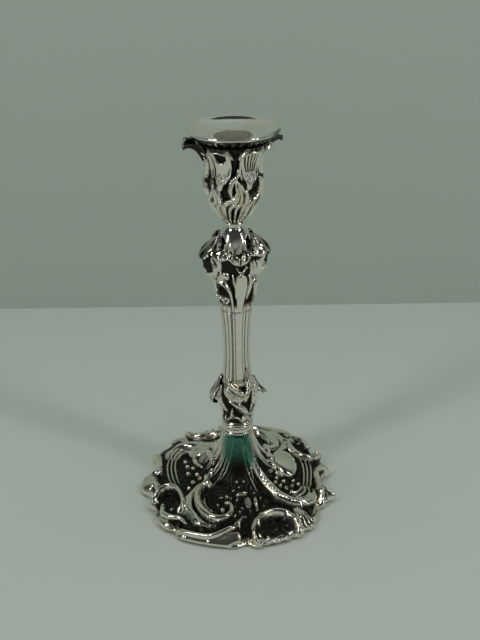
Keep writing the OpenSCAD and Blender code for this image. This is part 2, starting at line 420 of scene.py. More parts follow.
# %% [markdown]
# Leaf ends that stand clear of the body can't come from a relief, so each is a sheet of its own.
# A grid is laid along a spine, extruded once to give it a back, and then cupped, ribbed and
# scalloped. Its face looks out where the spine runs outwards or down. The back of a leaf never
# gets wiped, so it stays black, and the face keeps some tarnish in its ribs and in patches.

# %% A free leaf
RIB_DEPTH = 0.1
LEAF_WALL = 0.8


def leaf(name, turn, spine, widths, cup=0.15, ribs=2.5, scallop=0.0, lobes=4, tilt=0.0,
         material=cast_silver):
    """turn is in degrees from the front towards the right; the spine is [radius, height] in mm."""
    shape = bmesh.new()
    side = shape.verts.layers.float.new("side")
    bmesh.ops.create_grid(shape, x_segments=44, y_segments=20, size=MM)
    grown = bmesh.ops.extrude_face_region(shape, geom=shape.faces[:], use_keep_orig=True)
    for item in grown["geom"]:
        if isinstance(item, bmesh.types.BMVert):
            item[side] = 1
    made = to_object(shape, name)
    back = np.zeros(len(made.data.vertices), np.float32)
    made.data.attributes["side"].data.foreach_get("value", back)
    grid = points_of(made)
    s, t = (grid[:, 0] + 1) / 2, grid[:, 1]
    path = curve_through(spine, 120)
    way = np.gradient(path, axis=0)
    way /= np.hypot(*way.T)[:, None]
    at = np.linspace(0, 1, len(path))
    w = np.interp(s, np.linspace(0, 1, len(widths)), widths)
    w = w * (1 + scallop * np.cos(2 * np.pi * lobes * s) * np.abs(t) ** 3)
    ridge = np.cos(2 * np.pi * ribs * t) * RIB_DEPTH * w
    lift = -cup * w * t * t + ridge - back * LEAF_WALL * (1 - 0.6 * np.abs(t) ** 4)
    radius = np.interp(s, at, path[:, 0]) - np.interp(s, at, way[:, 1]) * lift
    height = np.interp(s, at, path[:, 1]) + np.interp(s, at, way[:, 0]) * lift + tilt * w * t
    angle = math.radians(turn)
    out = np.array([math.sin(angle), -math.cos(angle)])
    across = np.array([math.cos(angle), math.sin(angle)])
    flat = radius[:, None] * out + (w * t)[:, None] * across
    set_points(made, np.column_stack([flat, height]))
    shape = bmesh.new()
    shape.from_mesh(made.data)
    bmesh.ops.recalc_face_normals(shape, faces=shape.faces[:])
    shape.to_mesh(made.data)
    shape.free()
    groove = np.clip(-ridge / (RIB_DEPTH * np.maximum(w, 1e-6)), 0, 1)
    patches = np.clip(1.6 * np.cos(8 * s + 2.5 * t) * np.cos(5 * t - 2 * s), 0, 1)
    set_tarnish_and_shade(made, np.maximum(back, 0.85 * np.maximum(groove, patches)))
    return finish_piece(made, "stick", material, "cast_silver")


# %% [markdown]
# The foot falls from its neck in a long hollow curve, and its border turns down into a skirt. The
# edge is far from round: it swings in where a C-scroll opens outwards and out again over beads and
# leaf ends. The round skirt is spun first, and its outer rings are then moved to the wavy edge.

# %% Outline of the foot
NECK_R, NECK_Z, BORDER_R = 9.0, 46.7, 52.0
FALL = 398.0
HOLD_R, SKIRT_R = 49.0, 63.2
FOOT_WALL = 2.9


def foot_height(r):
    return NECK_Z - FALL / NECK_R + FALL / r


def foot_inside(r, wall):
    """The point of the inner wall under the radius r."""
    slope = FALL / r**2
    n = math.hypot(1, slope)
    return r - wall * slope / n, foot_height(r) - wall / n


border = [(61.0, 0.9), (62.6, 1.1), (63.2, 2.2), (63.0, 3.6), (61.8, 5.2), (59.8, 7.2), (57.6, 8.8),
          (55, 9.6)]
dome = [(r, foot_height(r)) for r in np.linspace(BORDER_R, NECK_R, 90)]
foot_outer = rounded(border, 4) + dome
foot_inner = [foot_inside(r, FOOT_WALL) for r in np.linspace(NECK_R, BORDER_R, 14)]
foot_inner += [(57.4, 5.9), (59.8, 3.4), (60.2, 0.9)]
foot_outline = foot_outer + foot_inner
print("foot outline has", len(foot_outline), "points")

# %% The wavy edge: radius against the angle from the right-hand side
FRONT_EDGE = [
    (-22, 59), (-28, 58.3), (-34, 60.5), (-40, 62.5), (-47, 65.6), (-50, 63.2), (-54, 66.5), (-58, 64),
    (-62, 65.2), (-65, 63.6), (-68, 64.8), (-71, 63), (-74, 64.2), (-77, 62.6), (-80, 65.5), (-85, 60.6),
    (-91, 64.2), (-100, 63.8), (-110, 64.2), (-118, 65.2), (-125, 66.2), (-129, 62.6), (-136, 65.6),
    (-142, 64.6), (-145, 61.6), (-150, 62.6), (-156, 61.6), (-161, 57.2)]
RIGHT_EDGE = [(9, 63), (5, 58.5), (-3, 54), (-11, 57), (-16, 63.6)]
LEFT_EDGE = [(-167, 59), (-173, 65), (-181, 66.3), (-184.5, 60.5), (-190, 55), (-197, 56.5), (-203, 62),
             (-208, 67)]


def wavy_edge():
    back = [(a + 180, r) for a, r in FRONT_EDGE if -150 < a < -40]
    table = sorted((a % 360, r) for a, r in FRONT_EDGE + RIGHT_EDGE + LEFT_EDGE + back)
    angles, radii = np.array(table).T
    at = np.arange(720) / 2
    edge = np.interp(at, angles, radii, period=360)
    soften = np.exp(-0.5 * (np.minimum(at, 360 - at) / 0.9) ** 2)
    return at, np.fft.ifft(np.fft.fft(edge) * np.fft.fft(soften / soften.sum())).real


EDGE_AT, EDGE_R = wavy_edge()


def edge_radius(around):
    return np.interp(np.degrees(around), EDGE_AT, EDGE_R, period=360)


def swing_edge(made, inset=0.0):
    """Moves everything outside HOLD_R, so that the radius SKIRT_R lands on the wavy edge."""
    co = points_of(made)
    around, radius = around_axis(co)
    stretch = (edge_radius(around) - inset - HOLD_R) / (SKIRT_R - HOLD_R)
    beyond = HOLD_R + (radius - HOLD_R) * stretch
    scale = np.where(radius > HOLD_R, beyond / np.maximum(radius, 1e-6), 1)
    co[:, :2] *= scale[:, None]
    set_points(made, co)


print("edge of the foot from", EDGE_R.min().round(1), "to", EDGE_R.max().round(1), "mm")

# %% [markdown]
# The ornament of the foot is drawn flat, seen from above, in millimetres from the axis with the
# front at the bottom. Each entry is one scroll, strand or boss. The ground starts sunk, so
# whatever isn't worked stays a black recess.

# %% Relief of the foot
foot_plate = Plate((-72, 72), (-72, 72), PLATE_STEP, ground=-1.5)


def foot_pattern(turn):
    """The scrolls of the front half, and with turn = -1 the same turned half round to the back."""
    def at(*points):
        return [(turn * x, turn * y) for x, y in points]

    p = foot_plate
    # three strands outside the S-scroll
    for k in range(3):
        p.stroke(at((-25 - 1.2 * k, -17 - k), (-30 - 2.1 * k, -27 - k), (-29.5 - 2.2 * k, -38 - k),
                    (-22 - 1.6 * k, -48.5 - 0.8 * k), (-13 - k, -51 - k)), [0.5, 1.1, 1.2, 1.0, 0.5],
                 [0.8, 1.9 - 0.3 * k, 2.0 - 0.3 * k, 1.4, 0.4])
    # leafy S-scroll that curls in at the front
    p.stroke(at((-17, -11), (-20, -17), (-25.5, -25), (-25, -34), (-21, -42), (-14.5, -47), (-8, -46.6),
                (-4.3, -42), (-5.2, -36.5), (-8.5, -35.6)),
             [0.8, 1.6, 2.6, 3.0, 2.9, 2.5, 2.2, 1.9, 1.5, 0.9],
             [1.4, 2.8, 4.0, 4.2, 4.0, 3.6, 3.4, 3.2, 3.0, 2.2])
    p.stroke(at((-21.5, -30), (-20.5, -36), (-17, -40.5)), [0.6, 1.0, 0.5], [1.2, 1.8, 1.0])
    p.dome(at((-10, -40.5))[0], (1.8, 1.8), 2.2)
    p.stroke(at((-21, -12), (-19.5, -17.5), (-17.5, -20.5)), [0.7, 1.7, 1.2], [1.2, 3.4, 2.6])
    # feathered scroll that sweeps out to the side
    sweep = at((5, -9.6), (12, -14.5), (18.5, -21), (26, -28), (34, -31.5), (42, -31), (48, -25.5),
               (49, -18))
    p.stroke(sweep, [1.2, 2.6, 3.4, 3.6, 3.2, 2.8, 2.2, 1.2], [2.0, 3.4, 3.6, 3.6, 3.2, 2.6, 2.0, 1.2])
    p.stroke(sweep[:6], [0.8, 2.0, 2.9, 2.8, 1.6], [3.4, 4.8, 4.8, 4.4, 2.8], barbs=20)
    for k in range(3):
        p.stroke(at((37 - 2 * k, -27 + 1.5 * k), (42 - 2.4 * k, -27 + 2.2 * k),
                    (45.5 - 2.6 * k, -22 + 1.6 * k),
                    (45.5 - 2.4 * k, -16)), [0.5, 0.9, 0.9, 0.5], [1.0, 1.7 - 0.2 * k, 1.6 - 0.2 * k, 0.8])
    # little flower and beads between them
    p.dome(at((2, -29.5))[0], (4.4, 1.6), 2.2, turn=14)
    p.dome(at((10.8, -34.5))[0], (1.6, 4.4), 2.4, turn=12)
    p.dome(at((6, -35))[0], (2.6, 4.2), 0.5, turn=8)
    for x, y, r in ((-7.5, -31, 1.4), (3.5, -22, 1.1), (-1, -22.5, 1.1), (0.5, -25, 0.8), (1, -42, 1.0)):
        p.dome(at((x, y))[0], (r, r), 1.2 * r)
    # flecks in the ground, and two thin ridges that run down between the scrolls
    for x, y in ((-3, -27), (-5, -32), (-1, -33), (-2.5, -38), (2.4, -39), (-2, -45), (4, -46), (7.4, -41),
                 (12, -40),
                 (10, -28), (14, -31), (8, -25), (16, -36.5), (-11, -31), (-13, -36)):
        p.dome(at((x, y))[0], (0.7, 1.3), 0.9, turn=25 * x)
    for first, last in ((236, 230), (292, 296)):
        p.stroke(at(*[(r * math.cos(math.radians(a)), r * math.sin(math.radians(a)))
                      for r, a in ((21, first), (27, (first + last) / 2), (34, last))]), 0.6,
                      [0.4, 0.3, -0.9])
    # C-scroll on the border, with a curl at its left end and leaf lumps across its mouth
    p.dome(at((24.5, -51))[0], (12, 9), -0.7, how="add", form="flat")
    p.stroke(at((12.6, -58.6), (13.9, -60.4), (12.2, -62.4), (9.6, -60.6), (8.9, -56), (11.2, -50),
                (16.5, -44.6),
                (24, -42), (31, -43.6), (35.6, -49), (36.4, -54), (33.6, -56.4)),
             [1.0, 1.3, 1.5, 1.7, 1.9, 2.1, 2.2, 2.2, 2.2, 2.0, 1.8, 1.3],
             [2.6, 3.0, 3.2, 3.4, 3.6, 3.8, 4.0, 4.0, 3.8, 3.6, 3.2, 2.6])
    for x, y in ((18.5, -60), (22.5, -60), (26.5, -59), (30, -57.6)):
        p.dome(at((x, y))[0], (2.2, 1.7), 1.8, turn=math.degrees(math.atan2(x, -y)))
    # fan at the corner
    for k, angle in enumerate((-70, -60, -50, -40)):
        c, s = math.cos(math.radians(angle)), math.sin(math.radians(angle))
        p.stroke(at((33 + 5 * c, -33 + 5 * s), (33 + 16 * c, -33 + 17 * s), (33 + 19 * c, -33 + 20.5 * s)),
                 [0.5, 1.3, 1.0], [1.0, 2.0, 1.8])
    # plain band with a waved edge at the front
    p.stroke(at((-1, -60), (-12, -61.6), (-24, -59.8), (-34, -55.6)), [2.8, 3.4, 3.2, 1.8], 0.7,
             form="flat")
    p.stroke(at((-17.7, -58.6), (-18, -62.6)), 0.6, 1.6)
    p.stroke(at((-32, -54.6), (-33.4, -58.4)), 0.6, 1.4)
    p.stroke(at((2, -46), (0.8, -50.4), (-4, -54.6), (-10.5, -57.4), (-17.5, -58.3), (-25, -56.6),
                (-32, -54),
                (-38.5, -50.5)), [0.7, 1.3, 1.5, 1.4, 1.3, 1.3, 1.3, 1.0],
                [1.8, 2.6, 2.8, 2.6, 2.4, 2.2, 2.2, 1.6])
    # C-scroll at the corner that runs on as an S
    p.dome(at((-45, -25))[0], (6, 8.5), -0.7, how="add", form="flat", turn=20)
    p.stroke(at((-54.6, -26.5), (-55.4, -22.6), (-52, -17.6), (-46, -14.9), (-40.2, -18), (-36.6, -25),
                (-35.3, -32), (-36.4, -36.5), (-39.5, -37.6)),
             [1.2, 1.6, 1.9, 2.0, 2.0, 1.9, 1.8, 1.7, 1.3], [2.6, 3.0, 3.4, 3.8, 3.8, 3.6, 3.4, 3.0, 2.6])
    p.dome(at((-53.5, -25))[0], (1.8, 1.8), 3)
    p.stroke(at((-35.6, -34.5), (-31.5, -37), (-27.5, -43), (-23, -50), (-17, -53)),
             [1.2, 1.5, 1.6, 1.2, 0.6],
             [3.0, 2.8, 2.4, 1.8, 0.8])
    p.dome(at((-41.5, -35))[0], (1.8, 1.8), 2.0)
    p.stroke(at((-48, -31), (-47.6, -36.5), (-43, -41.5), (-36.5, -44), (-33, -48.5)),
             [1.3, 1.6, 1.6, 1.3, 0.8],
             [2.4, 2.8, 2.6, 2.0, 1.0])
    p.stroke(at((-51, -38), (-46, -44), (-40, -49)), [1.6, 1.9, 1.2], [0.8, 1.4, 1.0])
    # hair lines that keep the ground from being bare
    for k in range(4):
        p.stroke(at((14 + 2 * k, -33 - k), (20 + 3 * k, -36.5), (28 + 3 * k, -38)), 0.6, [-1.2, -0.7, -1.2])
        p.stroke(at((-14 + 0.5 * k, -22 - 3 * k), (-8 + k, -24 - 2 * k)), 0.6, [-1.2, -0.6, -1.2])


def foot_sides():
    p = foot_plate
    # teardrop boss on the right, with small lobes beside it
    p.dome((31, 5), (8.2, 14.5), 4.8, turn=8)
    for x, y, a, b, turn in ((21, 3, 2.4, 4.6, 14), (22, -4.5, 2.2, 3.8, 50), (27, -9.5, 2.0, 3.4, 90)):
        p.dome((x, y), (a, b), 2.4, turn=turn)
    for x, y in ((21, -10), (25, -13.5), (24, -17.5), (29.5, -14.5), (35, -17), (31, -20), (36, -12),
                 (39, -14.5),
                 (27, -19), (34, -22.5)):
        p.dome((x, y), (1.4, 1.4), 1.5)
    # rounded shell on the left, with strands falling from it
    p.dome((-26, 20), (8.5, 8), 3.8, turn=-15, ribs=9)
    p.stroke([(-29, 14), (-28.5, 4), (-24, -4)], [1.3, 1.6, 0.8], [2.4, 3.0, 1.6])
    p.stroke([(-20, 15), (-18.5, 3), (-16, -8)], [1.2, 1.7, 1.2], [2.4, 3.2, 2.2])
    p.dome((-23.5, 8), (3.2, 6.5), 0.6, turn=-12)
    for x, y in ((-29.5, -14.5), (-27, -9), (-33, -5), (-34, 3), (-32, -19), (-36, 10), (-30, -1),
                 (-25, -13)):
        p.dome((x, y), (1.5, 1.5), 1.5)
    p.stroke([(-21.5, -14), (-19.5, -19), (-19, -22)], [1.0, 1.6, 1.0], [2.0, 3.2, 2.0])
    # ribs that follow the border on each side
    for k in range(3):
        p.stroke([(40.5 + 3 * k, 22), (43.5 + 2.6 * k, 6), (43 + 2.3 * k, -10), (41 + 2.2 * k, -22)], 0.75,
                 [-0.5, 1.0, 1.0, -0.5])
        p.stroke([(-38 - 3 * k, 30), (-42.5 - 2.6 * k, 12), (-41 - 2.6 * k, -4), (-37 - 2 * k, -18)], 0.75,
                 [-0.5, 1.0, 1.0, -0.5])
    # C-scroll and beads on the right border, and the ridge inside it
    p.stroke([(60.4, 8.4), (57.6, 8.6), (54.2, 6), (51.9, 1), (51.4, -4), (52.6, -10), (52.4, -16)],
             [1.3, 1.4, 1.6, 1.7, 1.7, 1.6, 1.4], [1.8, 2.2, 2.8, 3.4, 3.4, 3.2, 2.8])
    p.dome((55.8, -1), (2.4, 6), -0.9, how="add", form="flat")
    p.stroke([(51.4, -12), (53.4, -19), (53.4, -27), (50.6, -35), (47, -41)], [1.4, 1.7, 1.7, 1.5, 1.0],
             [2.8, 3.0, 2.8, 2.4, 1.4])
    p.dome((60.2, -17.2), (2.3, 2.3), 3.6)
    p.stroke([(52, -11), (56.5, -15), (60, -17)], [1.0, 1.1, 1.2], [2.0, 2.2, 2.6])
    # C-scroll and plain shield on the left border
    p.stroke([(-60.5, 31), (-56.4, 27), (-54.0, 20), (-52.6, 12), (-54.0, 5), (-57.5, 2.2)],
             [1.5, 1.6, 1.7, 1.7, 1.6, 1.1], [1.8, 2.4, 3.2, 3.4, 2.8, 2.0])
    p.dome((-59.4, 16.5), (3.2, 9), -0.9, how="add", form="flat")
    p.dome((-59.6, -5), (5.0, 8.2), 0.9, turn=10, form="flat")
    p.stroke([(-53.5, 3.5), (-54.2, -3), (-53.6, -12), (-51, -17)], [1.0, 1.3, 1.3, 0.9],
             [2.2, 2.8, 2.6, 1.8])
    p.dome((-52.4, 1.8), (1.7, 1.7), 3.4)
    # pairs of ridges down the funnel
    for first, last in ((229, 219), (247, 236), (292, 296), (310, 317), (8, 20), (28, 38), (52, 50),
                        (75, 72),
                        (108, 112), (132, 136), (152, 160), (172, 180), (203, 198), (338, 346)):
        for spread in (-3.4, 3.4):
            ends = [(r * math.cos(math.radians(a)), r * math.sin(math.radians(a)))
                    for r, a in ((8.6, first + 1.6 * spread), (13, (2 * first + last) / 3 + spread),
                                 (19, (first + 2 * last) / 3 + spread), (26, last))]
            p.stroke(ends, [0.55, 0.7, 0.7, 0.4], [0.5, 0.9, 0.9, -0.8])


foot_pattern(1)
foot_pattern(-1)
foot_sides()
print("foot relief from", foot_plate.h.min().round(2), "to", foot_plate.h.max().round(2), "mm")

# %% Press the foot
def seen_from_above(co, around):
    """Each point takes its height from the spot of the plate straight above it."""
    return co[:, 0], co[:, 1]


foot = spin_outline("foot", foot_outline, 640)
swing_edge(foot)
x, y = np.meshgrid(foot_plate.us, foot_plate.vs)
from_axis, angle_of = np.hypot(x, y), np.arctan2(y, x)
ground = foot_plate.h < -0.4
foot_plate.h += (1 - smoothstep(9, 24, from_axis)) * 1.2 * ground
chasing = np.cos(46 * angle_of) * np.cos(1.1 * from_axis + 3 * np.cos(3 * angle_of))
foot_plate.h += 0.35 * chasing * smoothstep(16, 26, from_axis) * ground
foot_soot = foot_plate.blackening(full=-0.6, clean=1.4, hollow=0.2, reach=1.6)
foot_soot *= 0.45 + 0.55 * smoothstep(11, 20, from_axis)
foot_soot *= 1 - smoothstep(-2.5, -0.5, from_axis - edge_radius(angle_of))
press(foot, foot_plate, foot_outline, len(foot_outer) - 1, seen_from_above, foot_soot,
      fade=2.2, clear=2.0)
finish_piece(foot, "stick", neck_silver, "cast_silver", "foot_dome", "foot_border")

# %% [markdown]
# Plaster fills the foot and gives it weight. A thin plate closes it in, and baize is glued under
# the plate so that the stick doesn't scratch the table. All three are spun, and then moved to
# follow the wavy edge a little inside it.

# %% Plaster, closing plate and baize
fill_low, FILL_TOP = (c.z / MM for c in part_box("base_weight"))
fill_dome = [foot_inside(r, 4.0) for r in np.linspace(9.2, BORDER_R, 30)]
fill_outline = [(8, fill_low), (8, FILL_TOP)] + [p for p in fill_dome if p[1] < FILL_TOP]
fill_outline += [(56.4, 4.8), (58.8, 2.8), (59.0, fill_low)]
filling = spin_outline("plaster_filling", fill_outline, 240)
swing_edge(filling)
finish_piece(filling, "stick", plaster, "plaster", "base_weight")


def flat_piece(name, low, high, inset):
    ease = 0.25
    made = spin_outline(name, [(0, low), (SKIRT_R - ease, low), (SKIRT_R, low + ease),
                               (SKIRT_R, high - ease),
                               (SKIRT_R - ease, high), (HOLD_R, high), (0, high)], 360)
    swing_edge(made, inset)
    set_tarnish_and_shade(made, np.zeros(len(made.data.vertices)))
    return made


plate_low, plate_high = (c.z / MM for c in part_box("base_plate"))
EDGE_GAP = 3.4
closing_plate = flat_piece("closing_plate", plate_low, plate_high, EDGE_GAP)
finish_piece(closing_plate, "stick", tinned, "tinned_steel", "base_plate")
baize_pad = flat_piece("baize_pad", 0.0, plate_low, EDGE_GAP)
finish_piece(baize_pad, "stick", baize, "baize", "felt_pad")

# %% [markdown]
# The collar and the small ring under the cup are turned, not cast, so they stay plain.

# %% Turned rings
def turned_piece(name, stations, inner, steps, material, slot, *nodes):
    outer = rounded(stations, 8)
    made = spin_outline(name, outer + inner, steps)
    set_tarnish_and_shade(made, np.zeros(len(made.data.vertices)))
    return finish_piece(made, "stick", material, slot, *nodes)


ROD_HOLE = 2.75
turned_piece("foot_ring", [(9.4, 46.7), (10.3, 47.3), (10.5, 48.6), (9.9, 49.6), (9.9, 51.6), (10.4, 52.4),
                           (10.2, 53.6), (9.7, 54.2)], [(ROD_HOLE, 54.2), (ROD_HOLE, 46.7)], 96,
             cast_silver, "cast_silver", "foot_collar")
turned_piece("cup_ring", [(5.4, 187.5), (6.2, 188.2), (6.4, 189.4), (6.1, 190.4), (5.2, 191)],
             [(ROD_HOLE, 191), (ROD_HOLE, 187.5)], 96, cast_silver, "cast_silver", "neck_ring")

# %% [markdown]
# Above the foot, a plate goes once round its piece. Its width is then the way round at one
# reference radius, so a place on it is given as an angle from the front and a height.

# %% Plates that go round a piece
def round_plate(reference, low, high, ground=0.0):
    """A plate that goes once round the piece; its u is the arc at the reference radius."""
    half = math.pi * reference
    count = round(2 * half / PLATE_STEP)
    return Plate((-half, half), (low, high), 2 * half / count, ground, wraps=True)


def wrap_place(reference):
    """Angle 0 is the front, and it grows towards the right-hand side."""
    def place(co, around):
        return ((around + math.pi / 2 + math.pi) % (2 * math.pi) - math.pi) * reference, co[:, 2]
    return place


def by_angle(reference):
    """Turns (degrees from the front, height) into places on the plate."""
    def at(*points, turn=0):
        return [(math.radians(angle + turn) * reference, height) for angle, height in points]
    return at


def chase(plate, low, high):
    """Fine hammered waves on the raised work between two heights."""
    u, v = np.meshgrid(plate.us, plate.vs)
    waves = np.cos(2.3 * u + 1.4 * np.cos(0.8 * v)) * np.cos(1.5 * v + 1.2 * np.cos(0.7 * u))
    within = smoothstep(low - 1, low + 1, v) * (1 - smoothstep(high - 1, high + 1, v))
    plate.h += CHASE_DEPTH * waves * within * smoothstep(0, 0.8, plate.h)


# %% [markdown]
# The column is reeded: four broad hollow panels with thin reeds between them. The grooves between
# the reeds hold tarnish, and they run on a little way into both knops.

# %% Reeded column
STEM_R = 8.0
REEDS = ((-32, 0.5, 0.5), (-15, 0.9, 0.2), (-3, 0.4, 0.45), (27, 0.4, 0.35), (39, 0.6, 0.6))


def reeding(plate, reference, low, high):
    """Files the grooves between two heights; the same ones run up into the knops."""
    for turn in (0, 90, 180, 270):
        for angle, width, deep in REEDS:
            line = by_angle(reference)((angle, low), (angle, (low + high) / 2), (angle, high), turn=turn)
            plate.stroke(line, width, [-0.6 * deep, -deep, -deep, -0.6 * deep], how="add", form="soft")


stem_plate = round_plate(STEM_R, 86, 137)
reeding(stem_plate, STEM_R, 85, 138)
hollow = np.cos(np.radians(4 * (np.degrees(stem_plate.us / STEM_R) - 12)))
stem_plate.h += 0.3 - 0.3 * np.clip(hollow, 0, 1)[None]
stem_stations = [(9.2, 88), (8.7, 92), (8.25, 99), (7.95, 107), (8.15, 115), (8.6, 123), (9.3, 131),
                 (9.9, 135)]
stem_outer = rounded(stem_stations, 10)
stem_outline = stem_outer + [(ROD_HOLE, 135), (ROD_HOLE, 88)]
stem = spin_outline("stem", stem_outline, 360)
press(stem, stem_plate, stem_outline, len(stem_outer) - 1, wrap_place(STEM_R), 0.62 * stem_plate.black,
      fade=0.2)
finish_piece(stem, "stick", cast_silver, "cast_silver", "stem_column")

# %% [markdown]
# The lower knop is wrapped in leaves that run round it on a slant: a feathered ridge, a broad
# veined leaf and a scroll over a dark recess. It repeats twice round the knop, and a free leaf
# stands out at each side.

# %% Lower knop
LOWER_R = 12.0
lower_plate = round_plate(LOWER_R, 53, 92, ground=-1.3)
ends = smoothstep(81, 86, lower_plate.vs) + 1 - smoothstep(55, 57.5, lower_plate.vs)
lower_plate.h += 1.3 * ends[:, None]
reeding(lower_plate, LOWER_R, 80, 92)
at = by_angle(LOWER_R)
for turn in (0, 180):
    p = lower_plate
    p.stroke(at((-42, 84), (-30, 81), (-12, 78), (6, 76), (22, 77.5), turn=turn), [1.6, 3.6, 3.6, 3.0, 1.2],
             [0.6, 1.4, 1.6, 1.4, 0.8], strands=2.5)
    p.stroke(at((-38, 87), (-28, 86), (-16, 84.4), (0, 82), (14, 79.6), (27, 77.5), turn=turn),
             [0.8, 1.8, 2.2, 2.2, 1.8, 0.8], [1.4, 2.8, 3.2, 3.2, 2.8, 1.4], barbs=10)
    p.stroke(at((45, 88), (42, 85), (35, 81), (28, 77.5), (24, 74), turn=turn), [1.0, 1.6, 1.8, 1.6, 0.8],
             [1.0, 2.4, 2.8, 2.4, 1.2], barbs=6)
    p.stroke(at((-62, 82), (-64, 75), (-55, 69), (-40, 65), turn=turn), [1.0, 2.6, 2.4, 0.8],
             [0.8, 2.0, 1.8, 0.8],
             strands=1.5)
    p.stroke(at((-24, 74.6), (-10, 73.5), (2, 71.6), (14, 68.8), (26, 66), (37, 62.8), turn=turn),
             [0.8, 1.5, 2.1, 2.3, 2.2, 1.4], [0.8, 1.8, 2.6, 3.2, 3.4, 2.4])
    p.stroke(at((-26, 60), (-20, 63.5), (-17, 67.5), turn=turn), [1.2, 1.3, 0.5], [1.0, 1.8, 0.8])
    p.stroke(at((-52, 60), (-38, 58.6), (-18, 61.4), (2, 60.8), (12, 57.6), turn=turn),
             [0.8, 1.1, 1.1, 1.0, 0.7],
             [1.2, 1.9, 2.0, 1.8, 1.2])
    for angle, height in ((22, 58.6), (34, 59.4), (46, 58.4)):
        p.dome(at((angle, height), turn=turn)[0], (1.5, 2.6), 1.6)
    for k in range(3):
        p.stroke(at((56 + 11 * k, 88), (58 + 12 * k, 80), (54 + 11 * k, 72), (58 + 11 * k, 64),
                    (66 + 9 * k, 56), turn=turn),
                 [0.6, 1.3, 1.4, 1.2, 0.9], [0.5, 1.6, 2.0 - 0.3 * k, 1.6, 1.0])
    p.dome(at((62, 61), turn=turn)[0], (1.6, 1.6), 2.4)
lower_stations = [(10.2, 54.2), (9.4, 57), (9.2, 60), (9.8, 64), (11.2, 68.5), (12.4, 73), (12.2, 77),
                  (11.4, 81),
                  (9.9, 85), (8.9, 88)]
lower_outer = rounded(lower_stations, 14)
lower_outline = lower_outer + [(ROD_HOLE, 88), (ROD_HOLE, 54.2)]
lower = spin_outline("lower_leaf_knop", lower_outline, 400)
chase(lower_plate, 57, 83)
lower_soot = lower_plate.blackening(full=-0.5, clean=1.0, hollow=0.2)
middle = (1 - smoothstep(82.5, 86, lower_plate.vs)) * smoothstep(54.5, 57.5, lower_plate.vs)
lower_soot *= middle[:, None]
press(lower, lower_plate, lower_outline, len(lower_outer) - 1, wrap_place(LOWER_R),
      np.maximum(lower_soot, 0.6 * lower_plate.black), fade=0.3)
finish_piece(lower, "stick", cast_silver, "cast_silver", "lower_knop")
leaf("lower_leaf_left", -84, [(10.4, 87.5), (12.6, 82), (15.2, 77.6), (17.0, 73), (16.2, 69.4),
                              (13.0, 67.4)],
     [1.5, 4.2, 5.4, 5.0, 3.6, 1.2], cup=0.22, scallop=0.12)
leaf("lower_leaf_right", 96, [(11.0, 85.5), (12.6, 82), (14.8, 78), (17.4, 75.2), (19.2, 73.6)],
     [1.2, 3.6, 4.2, 2.8, 0.3], cup=0.3, scallop=0.1)
leaf("lower_leaf_climbing", 44, [(9.1, 95.5), (9.6, 90), (10.6, 86), (11.8, 80)], [0.2, 2.0, 2.8, 1.8],
     cup=0.25,
     ribs=1.5, tilt=-0.5)
leaf("lower_leaf_climbing_back", 224, [(9.1, 95.5), (9.6, 90), (10.6, 86), (11.8, 80)],
     [0.2, 2.0, 2.8, 1.8],
     cup=0.25, ribs=1.5, tilt=-0.5)

# %% [markdown]
# The upper knop is the richest casting. Leaf lobes hang round the foot of the bulb over a black
# hollow, dark loops sit between C-scrolls below them, and a plain shield runs down into a panel of
# the column. A hooded leaf curls over at each side and makes the knop wide.

# %% Upper knop
UPPER_R = 13.0
upper_plate = round_plate(UPPER_R, 134, 176, ground=-1.4)
upper_plate.h += 1.4 * (1 - smoothstep(136, 142, upper_plate.vs))[:, None]
reeding(upper_plate, UPPER_R, 133, 144)
at = by_angle(UPPER_R)


def ring_of(centre, size, turn):
    """A small closed ring, as points of a stroke."""
    degrees_wide = size * 4.4
    return at(*[(centre[0] + degrees_wide * math.cos(math.radians(a)),
                 centre[1] + size * math.sin(math.radians(a))) for a in range(0, 361, 30)], turn=turn)


